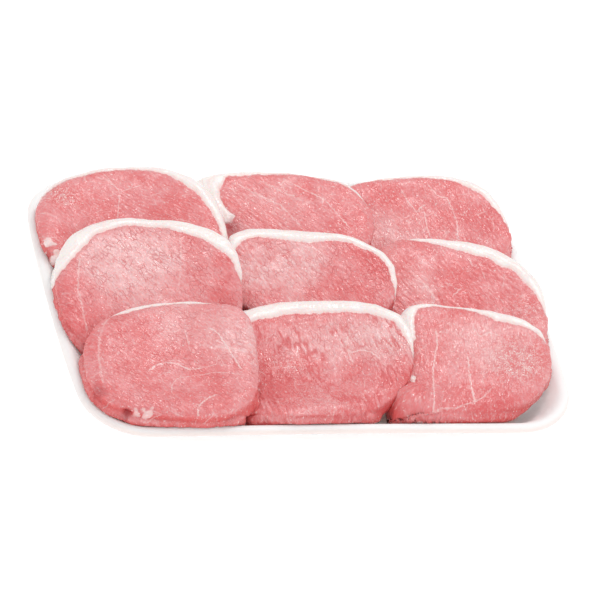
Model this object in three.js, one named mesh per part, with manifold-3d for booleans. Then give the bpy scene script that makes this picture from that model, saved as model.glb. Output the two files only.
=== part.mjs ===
// A white foam tray filled with boneless pork loin chops, laid as roof tiles are: three rows of three,
// each row over the one behind it, and in a row each chop over its right-hand neighbour.
// Millimetres and degrees, +Z up. The origin is under the middle of the tray, on the surface it rests on.

import * as THREE from 'three';
import { mergeVertices } from 'three/addons/utils/BufferGeometryUtils.js';
import Module from 'manifold-3d';

const wasm = await Module();
wasm.setup();

// ---------- driving dimensions ----------

const TRAY = {
  length: 310,          // along X, at the corners of the rim
  width: 232,           // along Y, at the corners of the rim
  corner: 38.5,         // radius of the rim's corners
  tightest: 10,         // smallest corner radius further in
  endBow: 4.5,          // how far the short sides bow out at their middle
  sideBow: -2.5,        // and the long sides, which are drawn in
  color: 0xf7f5f4,
};

// Half section of the tray from the middle of its underside round to the middle of its floor,
// as [distance in from the rim's outer edge, height]. No distance stands for the middle.
const TRAY_SECTION = [
  [null, 0], [29, 0], [25.5, 1.2], [22, 4.5], [8, 19.5], [3, 20.4], [0.6, 21.8], [0, 23.6],
  [1.2, 25.4], [3.6, 26.2], [6.4, 25.4], [9.2, 22.6], [23, 7.6], [26.5, 5], [31, 4], [null, 4],
];
const TRAY_INSIDE_FROM = 9;     // the first point of that section on the inside

const CORNER_STEPS = 6;         // facets in a rounded corner
const SIDE_STEPS = { end: 4, side: 4 };

const CHOP = {
  edge: 7,              // how far in from its outline a chop's edge starts to round off
  slant: 6,             // and how much further on its left, where the side leans
  crown: 3,             // extra thickness in the middle
  spokes: 36,
  color: 0xe58d94,
};
const TOP_RINGS = [0, 0.34, 0.62, 0.84, 1];      // shares of the way out to where the edge rounds off
const EDGE_ANGLES = [60, 32, 4, -26, -58];           // round the edge, from the top to the underside
const UNDER_RINGS = [1, 0.66, 0.33, 0];

const DRAPE = {
  cell: 2.5,            // grid on which the meat sags
  bend: 1 / 110,        // curvature that the meat takes under its own weight, per mm
  rounds: 320,
  softening: 60,        // smoothing rounds between the underside and the top
  gap: 0.45,            // clear space left under each chop
};
const CUT_GAP = 0.3;    // and the least space left by the final cut

// The chops in the order they are laid. at: middle in plan. reach: left, right, front and rear from
// there. fullness: front left, front right, rear left and rear right corners, 2 for an ellipse and more
// for a squarer corner. turn: anticlockwise. thick: at the edge of the flat.
const CHOPS = [
  { name: 'chop_back_right', at: [91, 66], reach: [67, 63, 45, 43], fullness: [2.6, 2.8, 3, 2.8], turn: 5, thick: 13 },
  { name: 'chop_back_mid', at: [4, 71], reach: [70, 61, 40, 40], fullness: [2.6, 2.5, 2.9, 2.2], turn: -1, thick: 13 },
  { name: 'chop_back_left', at: [-83, 61], reach: [73, 50, 47, 53], fullness: [2.8, 2.6, 2.3, 2.1], turn: -1, thick: 14 },
  { name: 'chop_middle_right', at: [96, -2], reach: [48, 63, 54, 52], fullness: [2.2, 3.5, 3, 2.2], turn: -10, thick: 14 },
  { name: 'chop_middle_mid', at: [4, 22], reach: [45, 63, 36, 33], fullness: [2.6, 2.9, 3.3, 2.4], turn: -13, thick: 13 },
  { name: 'chop_middle_left', at: [-104, 11], reach: [51, 69, 62, 52], fullness: [3, 2.9, 1.7, 3], turn: -7, thick: 14 },
  { name: 'chop_front_right', at: [81, -51], reach: [31, 68, 50, 40], fullness: [2.8, 2.1, 3.5, 2.4], turn: -13, thick: 13 },
  { name: 'chop_front_mid', at: [-15, -39], reach: [45, 76, 67, 34], fullness: [3.5, 2.3, 1.6, 2.4], turn: 0, thick: 13 },
  { name: 'chop_front_left', at: [-86, -60], reach: [65, 44, 50, 49], fullness: [3.9, 2.3, 1.7, 4], turn: -6, thick: 14 },
];

// ---------- shared helpers ----------

const radians = THREE.MathUtils.degToRad;

/** A geometry with only positions left and its seams and poles joined. */
function closed(geometry) {
  geometry.deleteAttribute('normal');
  geometry.deleteAttribute('uv');
  return mergeVertices(geometry, 1e-4);
}

/** Moves every vertex of a geometry to where place(x, y, z) says. */
function reshape(geometry, place) {
  const position = geometry.getAttribute('position');
  for (let i = 0; i < position.count; i += 1) {
    position.setXYZ(i, ...place(position.getX(i), position.getY(i), position.getZ(i)));
  }
  return geometry;
}

/** The solid that a closed geometry bounds. */
function solidOf(geometry) {
  return new wasm.Manifold(new wasm.Mesh({
    numProp: 3,
    vertProperties: new Float32Array(geometry.getAttribute('position').array),
    triVerts: new Uint32Array(geometry.getIndex().array),
  }));
}

/** The geometry of a solid's largest body. */
function geometryOf(solid) {
  const bodies = solid.decompose().sort((a, b) => b.volume() - a.volume());
  const { vertProperties, triVerts } = bodies[0].getMesh();
  const geometry = new THREE.BufferGeometry();
  geometry.setAttribute('position', new THREE.BufferAttribute(vertProperties, 3));
  geometry.setIndex(new THREE.BufferAttribute(triVerts, 1));
  return geometry;
}

function meshOf(name, geometry, color, roughness) {
  geometry.computeVertexNormals();
  const material = new THREE.MeshStandardMaterial({ color, roughness, metalness: 0 });
  const mesh = new THREE.Mesh(geometry, material);
  mesh.name = name;
  return mesh;
}

// ---------- the tray ----------

/** Points of the rim's outline, drawn in by inset, anticlockwise from the right end's back corner. */
function rimOutline(inset) {
  const half = new THREE.Vector2(TRAY.length / 2 - inset, TRAY.width / 2 - inset);
  const radius = Math.max(TRAY.corner - inset, TRAY.tightest);
  const points = [];
  for (const [sx, sy] of [[1, 1], [-1, 1], [-1, -1], [1, -1]]) {
    const middle = new THREE.Vector2(sx * (half.x - radius), sy * (half.y - radius));
    const quarter = [];
    for (let i = 0; i <= CORNER_STEPS; i += 1) {
      const angle = (Math.PI / 2) * (i / CORNER_STEPS);
      quarter.push(new THREE.Vector2(Math.cos(angle) * sx, Math.sin(angle) * sy).multiplyScalar(radius).add(middle));
    }
    if (sx * sy < 0) quarter.reverse();
    const steps = sx * sy > 0 ? SIDE_STEPS.side : SIDE_STEPS.end;
    points.push(...quarter);
    const last = points[points.length - 1];
    const mirrored = sx * sy > 0 ? new THREE.Vector2(-last.x, last.y) : new THREE.Vector2(last.x, -last.y);
    for (let i = 1; i < steps; i += 1) points.push(last.clone().lerp(mirrored, i / steps));
  }
  return points.map((point) => point.set(...bowed(point.x, point.y, 1)));
}

/** Adds the bow of the sides to a point of the straight-sided outline, or takes it off with way -1. */
function bowed(x, y, way) {
  const u = THREE.MathUtils.clamp(x / (TRAY.length / 2), -1, 1);
  const v = THREE.MathUtils.clamp(y / (TRAY.width / 2), -1, 1);
  return [
    x + way * Math.sign(x) * TRAY.endBow * (1 - v * v) * u ** 4,
    y + way * Math.sign(y) * TRAY.sideBow * (1 - u * u) * v ** 4,
  ];
}

/** A turned bowl of the tray's section, stretched to the rim's rounded rectangle. */
function trayGeometry() {
  const outlines = TRAY_SECTION.map(([inset]) => (inset === null ? null : rimOutline(inset)));
  const steps = outlines.find((outline) => outline !== null).length;
  const profile = TRAY_SECTION.map(([inset, height]) => new THREE.Vector2(inset === null ? 0 : TRAY.width - inset, height));
  const turned = new THREE.LatheGeometry(profile, steps);
  const row = TRAY_SECTION.length;
  const position = turned.getAttribute('position');
  for (let i = 0; i < position.count; i += 1) {
    const outline = outlines[i % row];
    const point = outline ? outline[Math.floor(i / row) % steps] : { x: 0, y: 0 };
    position.setXYZ(i, point.x, point.y, TRAY_SECTION[i % row][1]);
  }
  return closed(turned);
}

/** Height of the tray's inside at a point in plan. */
function trayInside(x, y) {
  const [sx, sy] = bowed(x, y, -1);
  const qx = Math.abs(sx) - (TRAY.length / 2 - TRAY.corner);
  const qy = Math.abs(sy) - (TRAY.width / 2 - TRAY.corner);
  const inset = TRAY.corner - Math.hypot(Math.max(qx, 0), Math.max(qy, 0)) - Math.min(Math.max(qx, qy), 0);
  const inside = TRAY_SECTION.slice(TRAY_INSIDE_FROM, -1);
  if (inset <= inside[0][0]) return inside[0][1];
  for (let i = 1; i < inside.length; i += 1) {
    const [[near, high], [far, low]] = [inside[i - 1], inside[i]];
    if (inset <= far) return THREE.MathUtils.mapLinear(inset, near, far, high, low);
  }
  return inside[inside.length - 1][1];
}

// ---------- heights on a grid ----------

/** Heights over the tray's plan, one value to a cell. */
class HeightMap {
  constructor(valueAt) {
    this.columns = Math.ceil((TRAY.length + 40) / DRAPE.cell);
    this.rows = Math.ceil((TRAY.width + 40) / DRAPE.cell);
    this.values = new Float64Array(this.columns * this.rows);
    this.forEachCell((x, y, i) => { this.values[i] = valueAt(x, y, i); });
  }

  forEachCell(visit) {
    for (let row = 0; row < this.rows; row += 1) {
      for (let column = 0; column < this.columns; column += 1) {
        const x = (column - (this.columns - 1) / 2) * DRAPE.cell;
        const y = (row - (this.rows - 1) / 2) * DRAPE.cell;
        visit(x, y, row * this.columns + column);
      }
    }
  }

  /** Height between cells. */
  at(x, y) {
    const column = THREE.MathUtils.clamp(x / DRAPE.cell + (this.columns - 1) / 2, 0, this.columns - 1.001);
    const row = THREE.MathUtils.clamp(y / DRAPE.cell + (this.rows - 1) / 2, 0, this.rows - 1.001);
    const i = Math.floor(row) * this.columns + Math.floor(column);
    const [u, v] = [column % 1, row % 1];
    const near = THREE.MathUtils.lerp(this.values[i], this.values[i + 1], u);
    const far = THREE.MathUtils.lerp(this.values[i + this.columns], this.values[i + this.columns + 1], u);
    return THREE.MathUtils.lerp(near, far, v);
  }

  /** Averages each cell of a sheet with its neighbours in the sheet, then lets settle(mean, i) place it. */
  relax(cells, inSheet, rounds, settle) {
    const steps = [-1, 1, -this.columns, this.columns];
    for (let round = 0; round < rounds; round += 1) {
      const before = this.values.slice();
      for (const i of cells) {
        const sum = steps.reduce((total, step) => total + before[inSheet[i + step] ? i + step : i], 0);
        this.values[i] = settle(sum / steps.length, i);
      }
    }
    return this;
  }
}

// ---------- the chops ----------

/** Distance from a chop's middle to its outline, in the direction of an angle in its own frame. */
function reachAt(chop, angle) {
  const [left, right, front, rear] = chop.reach;
  const [c, s] = [Math.cos(angle), Math.sin(angle)];
  const fullness = chop.fullness[(s < 0 ? 0 : 2) + (c < 0 ? 0 : 1)];
  const across = Math.abs(c) / (c < 0 ? left : right);
  const along = Math.abs(s) / (s < 0 ? front : rear);
  return (across ** fullness + along ** fullness) ** (-1 / fullness);
}

/** Width of the rounded edge in that direction. */
function edgeAt(angle) {
  return CHOP.edge + CHOP.slant * Math.max(-Math.cos(angle), 0) ** 2;
}

/** A point of the plan as the chop's own angle and distance from its middle. */
function polarIn(chop, x, y) {
  const [dx, dy] = [x - chop.at[0], y - chop.at[1]];
  return { angle: Math.atan2(dy, dx) - radians(chop.turn), distance: Math.hypot(dx, dy) };
}

/** How far inside a chop's outline a point of the plan lies; negative outside. */
function depthIn(chop, x, y) {
  const { angle, distance } = polarIn(chop, x, y);
  return reachAt(chop, angle) - distance;
}

/** Underside and top of a chop that sags onto the heights of what already lies below. */
function drape(chop, below) {
  const inSheet = new Uint8Array(below.values.length);
  const cells = [];
  below.forEachCell((x, y, i) => {
    if (depthIn(chop, x, y) > -2 * DRAPE.cell) {
      inSheet[i] = 1;
      cells.push(i);
    }
  });
  const sag = (DRAPE.bend * DRAPE.cell ** 2) / 4;
  const floor = new HeightMap((x, y, i) => below.values[i] + DRAPE.gap);
  const under = new HeightMap((x, y, i) => floor.values[i])
    .relax(cells, inSheet, DRAPE.rounds, (mean, i) => Math.max(floor.values[i], mean - sag));
  const top = new HeightMap((x, y, i) => under.values[i])
    .relax(cells, inSheet, DRAPE.softening, (mean) => mean);
  cells.forEach((i) => { top.values[i] = Math.max(top.values[i], under.values[i] - chop.thick / 5) + chop.thick; });
  return { under, top };
}

/** Height of a chop's upper side over a point of the plan, with its rounded edge, or -Infinity outside. */
function upperSide(chop, { under, top }, x, y) {
  const { angle, distance } = polarIn(chop, x, y);
  const depth = reachAt(chop, angle) - distance;
  if (depth < 0) return -Infinity;
  const middle = (under.at(x, y) + top.at(x, y)) / 2;
  const share = Math.min(depth / edgeAt(angle), 1);
  return middle + (top.at(x, y) - middle) * Math.sqrt(1 - (1 - share) ** 2) + crownAt(chop, x, y);
}

function crownAt(chop, x, y) {
  const { angle, distance } = polarIn(chop, x, y);
  return CHOP.crown * Math.max(1 - (distance / reachAt(chop, angle)) ** 2, 0);
}

/** A sphere pressed into the chop's outline and laid on its drape, grown all round by margin. */
function chopGeometry(chop, sheet, margin = 0) {
  const bands = [
    ...TOP_RINGS.map((share) => ({ share, angle: 90 })),
    ...EDGE_ANGLES.map((angle) => ({ share: 1, angle })),
    ...UNDER_RINGS.map((share) => ({ share, angle: -90 })),
  ];
  const sphere = new THREE.SphereGeometry(1, CHOP.spokes, bands.length - 1).rotateX(Math.PI / 2);
  const place = (x, y, z) => {
    const band = bands[Math.round((Math.acos(THREE.MathUtils.clamp(z, -1, 1)) / Math.PI) * (bands.length - 1))];
    const angle = Math.atan2(y, x);
    const turned = angle + radians(chop.turn);
    const edge = radians(band.angle);
    const flat = (reachAt(chop, angle) - edgeAt(angle)) * band.share;
    const distance = flat + (edgeAt(angle) + margin) * Math.cos(edge);
    const px = chop.at[0] + distance * Math.cos(turned);
    const py = chop.at[1] + distance * Math.sin(turned);
    const [low, high] = [sheet.under.at(px, py), sheet.top.at(px, py)];
    const half = (high - low) / 2 + margin;
    const crown = band.angle > 0 ? crownAt(chop, px, py) * Math.sin(edge) : 0;
    return [px, py, (high + low) / 2 + half * Math.sin(edge) + crown];
  };
  return closed(reshape(sphere, place));
}

/** Lays the chops one by one, each cut clear of what it lies on. */
function layChops(tray) {
  const below = new HeightMap(trayInside);
  const laid = [solidOf(tray).translate(0, 0, CUT_GAP)];
  return CHOPS.map((chop) => {
    const sheet = drape(chop, below);
    const clear = laid.reduce((solid, lower) => solid.subtract(lower), solidOf(chopGeometry(chop, sheet)));
    laid.push(solidOf(chopGeometry(chop, sheet, CUT_GAP)));
    below.forEachCell((x, y, i) => { below.values[i] = Math.max(below.values[i], upperSide(chop, sheet, x, y)); });
    return meshOf(chop.name, geometryOf(clear), CHOP.color, 0.45);
  });
}

// ---------- the filled tray ----------

const trayShape = trayGeometry();
const pack = new THREE.Group();
pack.add(meshOf('tray', trayShape, TRAY.color, 0.6));
pack.add(...layChops(trayShape));

export default pack;
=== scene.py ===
"""Looks of a foam tray of boneless pork loin chops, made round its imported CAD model.

Each chop is a fine mesh grown from its CAD solid, with its back fat, fibres and marbling, and the tray is
a smooth foam shell. Lengths inside the classes are millimetres; meshes are in metres in the model's frame.
"""

import logging
import math
from dataclasses import dataclass
from enum import Enum
from typing import Any, Iterable, Sequence

import bmesh
import bpy
import numpy as np
from mathutils import Matrix, Vector, noise
from mathutils.bvhtree import BVHTree


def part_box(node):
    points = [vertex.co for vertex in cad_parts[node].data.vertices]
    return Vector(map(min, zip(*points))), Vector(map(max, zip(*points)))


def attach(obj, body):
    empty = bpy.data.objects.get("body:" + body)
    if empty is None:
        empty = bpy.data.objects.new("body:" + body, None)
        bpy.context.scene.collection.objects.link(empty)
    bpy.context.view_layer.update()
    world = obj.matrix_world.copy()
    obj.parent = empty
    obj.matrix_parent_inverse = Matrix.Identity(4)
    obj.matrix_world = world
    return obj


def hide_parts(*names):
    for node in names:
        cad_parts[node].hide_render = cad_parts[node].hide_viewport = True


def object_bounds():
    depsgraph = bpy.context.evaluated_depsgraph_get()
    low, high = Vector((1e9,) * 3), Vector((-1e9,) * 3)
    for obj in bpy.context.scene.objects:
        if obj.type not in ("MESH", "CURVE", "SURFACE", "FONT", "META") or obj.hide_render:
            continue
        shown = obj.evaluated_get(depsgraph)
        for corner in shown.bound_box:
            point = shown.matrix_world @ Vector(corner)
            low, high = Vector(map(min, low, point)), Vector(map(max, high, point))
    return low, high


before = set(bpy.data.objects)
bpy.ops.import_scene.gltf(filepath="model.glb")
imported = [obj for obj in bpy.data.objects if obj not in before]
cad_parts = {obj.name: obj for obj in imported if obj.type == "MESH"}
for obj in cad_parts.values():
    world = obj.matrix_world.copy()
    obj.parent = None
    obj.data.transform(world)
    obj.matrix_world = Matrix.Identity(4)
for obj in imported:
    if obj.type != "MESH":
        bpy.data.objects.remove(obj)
cad_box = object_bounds()

LOG = logging.getLogger("meat_tray")
MM = 0.001
Array = np.ndarray
Socket = bpy.types.NodeSocket
BODY = "root"


class Slot(Enum):
    """The record's material slots."""

    FOAM = "foam"
    PORK = "pork"


class Mark(Enum):
    """Per-vertex values that a chop's mesh hands to its finish."""

    GRAIN = "grain"
    FAT = "fat"
    VEIN = "vein"
    # how far a face turns from up: the sides' deeper red is partly their own colour and partly painted shade
    SHADED_FLANK = "shaded_flank"
    LEAN = "lean"
    # wet places: glossier, and the glints on their beads of moisture are painted
    WET = "wet"
    # painted shade in pits and at gaps between chops
    DARK = "dark"


# ---------- shared tools ----------


def smoothstep(low: float, high: float, value: Array) -> Array:
    """Values mapped smoothly from 0 at low to 1 at high."""
    share = np.clip((value - low) / (high - low), 0.0, 1.0)
    return share * share * (3.0 - 2.0 * share)


def noise_at(points: Array, size: float | Sequence[float], seed: float) -> Array:
    """Smooth noise from about -1 to 1 at many points, in lumps of a size and shifted by a seed."""
    scaled = points / np.broadcast_to(np.asarray(size, float), (3,)) + seed * 7.31
    return np.array([noise.noise(Vector(row)) for row in scaled])


def cell_edges(points: Array, size: float | Sequence[float], seed: float) -> Array:
    """How far each point lies from the border of its cell, in shares of a cell.

    Args:
        points: Positions, one to a row.
        size: Size of a cell in the same units, one number or one for each axis.
        seed: Shifts the pattern.

    Returns:
        One value to a point, 0 on a border.
    """
    scaled = points / np.broadcast_to(np.asarray(size, float), (3,)) + seed * 3.17
    found = (noise.voronoi(Vector(row))[0] for row in scaled)
    return np.array([near[1] - near[0] for near in found])


def merged_copy(node: str) -> bmesh.types.BMesh:
    """A CAD node's shape with its loose triangles joined.

    Args:
        node: The node's name.

    Returns:
        A new bmesh, which the caller frees.
    """
    shape = bmesh.new()
    shape.from_mesh(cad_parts[node].data)
    bmesh.ops.remove_doubles(shape, verts=shape.verts, dist=1e-6)
    return shape


def new_object(name: str, shape: bmesh.types.BMesh) -> bpy.types.Object:
    """Turns a bmesh into an object at the origin and frees it.

    Args:
        name: The object's name.
        shape: The finished bmesh.

    Returns:
        The linked object.
    """
    mesh = bpy.data.meshes.new(name)
    shape.to_mesh(mesh)
    shape.free()
    made = bpy.data.objects.new(name, mesh)
    bpy.context.scene.collection.objects.link(made)
    return made


def apply_modifiers(piece: bpy.types.Object) -> None:
    """Bakes a piece's modifiers into its mesh.

    Args:
        piece: The piece.
    """
    held = bpy.context.evaluated_depsgraph_get()
    finished = bpy.data.meshes.new_from_object(piece.evaluated_get(held))
    raw = piece.data
    piece.modifiers.clear()
    piece.data = finished
    finished.name = piece.name
    bpy.data.meshes.remove(raw)


def hand_over(piece: bpy.types.Object, node: str, finish: bpy.types.Material) -> None:
    """Dresses a finished piece and lets it stand for its CAD node.

    Args:
        piece: The piece.
        node: The CAD node that it replaces.
        finish: The piece's material.
    """
    piece.data.materials.clear()
    piece.data.materials.append(finish)
    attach(piece, BODY)
    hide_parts(node)
    LOG.info("%s: %d faces", piece.name, len(piece.data.polygons))


# ---------- node trees ----------


class Graph:
    """A node tree with short calls for its nodes and links."""

    def __init__(self, tree: bpy.types.NodeTree) -> None:
        """Starts from an empty tree."""
        self.tree = tree
        self.tree.nodes.clear()

    def node(self, kind: str, values: dict[str | int, Any] | None = None, **settings: Any) -> bpy.types.Node:
        """Adds a node.

        Args:
            kind: The node's type name.
            values: What feeds its inputs: sockets are linked, and anything else is set.
            **settings: The node's own properties.

        Returns:
            The node.
        """
        made = self.tree.nodes.new(kind)
        for name, value in settings.items():
            setattr(made, name, value)
        for name, value in (values or {}).items():
            if isinstance(value, Socket):
                self.tree.links.new(value, made.inputs[name])
            else:
                made.inputs[name].default_value = value
        return made

    def calc(self, operation: str, *values: Any) -> Socket:
        """A Math node's result."""
        return self.node("ShaderNodeMath", dict(enumerate(values)), operation=operation).outputs[0]

    def vector_calc(self, operation: str, *values: Any) -> Socket:
        """A Vector Math node's result."""
        return self.node("ShaderNodeVectorMath", dict(enumerate(values)), operation=operation).outputs[0]

    def times(self, first: Any, *others: Any) -> Socket:
        """The product of some values.

        Args:
            first: A value or a socket.
            *others: More of them.

        Returns:
            The product's socket.
        """
        for other in others:
            first = self.calc("MULTIPLY", first, other)
        return first

    def total(self, *terms: tuple[Any, ...]) -> Socket:
        """The sum of some products.

        Args:
            *terms: The factors of each product.

        Returns:
            The sum's socket.
        """
        result = self.times(*terms[0])
        for term in terms[1:]:
            result = self.calc("ADD", result, self.times(*term))
        return result

    def parts(self, vector: Any) -> Any:
        """The X, Y and Z of a vector."""
        return self.node("ShaderNodeSeparateXYZ", {0: vector}).outputs

    def rise(self, value: Any, low: float, high: float, start: float = 0.0,
             end: float = 1.0) -> Socket:
        """Maps a value smoothly from low..high to start..end."""
        values = {"Value": value, "From Min": low, "From Max": high, "To Min": start, "To Max": end}
        return self.node("ShaderNodeMapRange", values, interpolation_type="SMOOTHSTEP").outputs[0]

    def blend(self, share: Any, first: Any, second: Any) -> Socket:
        """Two colours mixed, with so much of the second."""
        return self.node("ShaderNodeMix", {0: share, 6: first, 7: second}, data_type="RGBA").outputs[2]

    def scaled(self, vector: Any, scale: tuple[float, float, float],
               move: float = 0.0) -> Socket:
        """A vector stretched along each axis and moved."""
        values = {"Vector": vector, "Location": (move, move, move), "Scale": scale}
        return self.node("ShaderNodeMapping", values).outputs[0]

    def noise(self, vector: Any, scale: Any, detail: float = 2.0, rough: float = 0.5,
              output: str = "Fac") -> Socket:
        """A noise texture's value or colour on a vector."""
        values = {"Vector": vector, "Scale": scale, "Detail": detail, "Roughness": rough}
        return self.node("ShaderNodeTexNoise", values).outputs[output]

    def cells(self, vector: Any, scale: float, feature: str = "F1") -> bpy.types.Node:
        """A Voronoi texture on a vector."""
        return self.node("ShaderNodeTexVoronoi", {"Vector": vector, "Scale": scale}, feature=feature)


def rgb(red: int, green: int, blue: int) -> tuple[float, float, float, float]:
    """A display colour as the linear colour that a shader takes.

    Args:
        red: From 0 to 255.
        green: From 0 to 255.
        blue: From 0 to 255.

    Returns:
        Linear red, green, blue and an alpha of 1.
    """
    def linear(value: float) -> float:
        """One channel."""
        share = value / 255.0
        return share / 12.92 if share <= 0.04045 else ((share + 0.055) / 1.055) ** 2.4

    return (linear(red), linear(green), linear(blue), 1.0)


@dataclass(frozen=True)
class WarpGroup:
    """A node group that bends a pattern's coordinates, so that no line in it is straight."""

    name: str = "bent coordinates"

    def build(self) -> bpy.types.NodeTree:
        """Makes the group, or returns it where it exists.

        Returns:
            The group, with Vector, Scale and Amount in and Vector out.
        """
        known = bpy.data.node_groups.get(self.name)
        if known:
            return known
        tree = bpy.data.node_groups.new(self.name, "ShaderNodeTree")
        graph = Graph(tree)
        for name, kind in (("Vector", "NodeSocketVector"), ("Scale", "NodeSocketFloat"),
                           ("Amount", "NodeSocketFloat")):
            tree.interface.new_socket(name, in_out="INPUT", socket_type=kind)
        tree.interface.new_socket("Vector", in_out="OUTPUT", socket_type="NodeSocketVector")
        start = graph.node("NodeGroupInput").outputs
        lumps = graph.noise(start["Vector"], start["Scale"], 1.0, output="Color")
        centred = graph.vector_calc("SUBTRACT", lumps, (0.5, 0.5, 0.5))
        shift = graph.node("ShaderNodeVectorMath", {0: centred, "Scale": start["Amount"]}, operation="SCALE")
        total = graph.vector_calc("ADD", start["Vector"], shift.outputs[0])
        graph.node("NodeGroupOutput", {"Vector": total})
        return tree

    def place(self, graph: Graph, vector: Any, scale: float, amount: float) -> Socket:
        """Places the group in a material.

        Args:
            graph: The material's graph.
            vector: The coordinates to bend.
            scale: How closely the bends follow each other.
            amount: How far they reach, in the coordinates' units.

        Returns:
            The bent coordinates.
        """
        values = {"Vector": vector, "Scale": scale, "Amount": amount}
        return graph.node("ShaderNodeGroup", values, node_tree=self.build()).outputs["Vector"]


# ---------- finishes ----------


@dataclass(frozen=True)
class Surface:
    """How a material takes the light: its relief, its refraction and the glow under its skin."""

    relief: float
    relief_depth: float
    refraction: float
    softness: float
    glow: tuple[float, float, float]
    glow_depth: float

    def finish(self, graph: Graph, colour: Any, rough: Any, height: Any) -> None:
        """Ends a material with its shader.

        Args:
            graph: The material's graph.
            colour: Its colour.
            rough: Its roughness.
            height: Its fine relief.
        """
        values = {"Strength": self.relief, "Distance": self.relief_depth, "Height": height}
        shader = graph.node("ShaderNodeBsdfPrincipled", {
            "Base Color": colour,
            "Roughness": rough,
            "IOR": self.refraction,
            "Subsurface Weight": self.softness,
            "Subsurface Radius": self.glow,
            "Subsurface Scale": self.glow_depth,
            "Normal": graph.node("ShaderNodeBump", values).outputs[0],
        })
        graph.node("ShaderNodeOutputMaterial", {"Surface": shader.outputs[0]})


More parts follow.
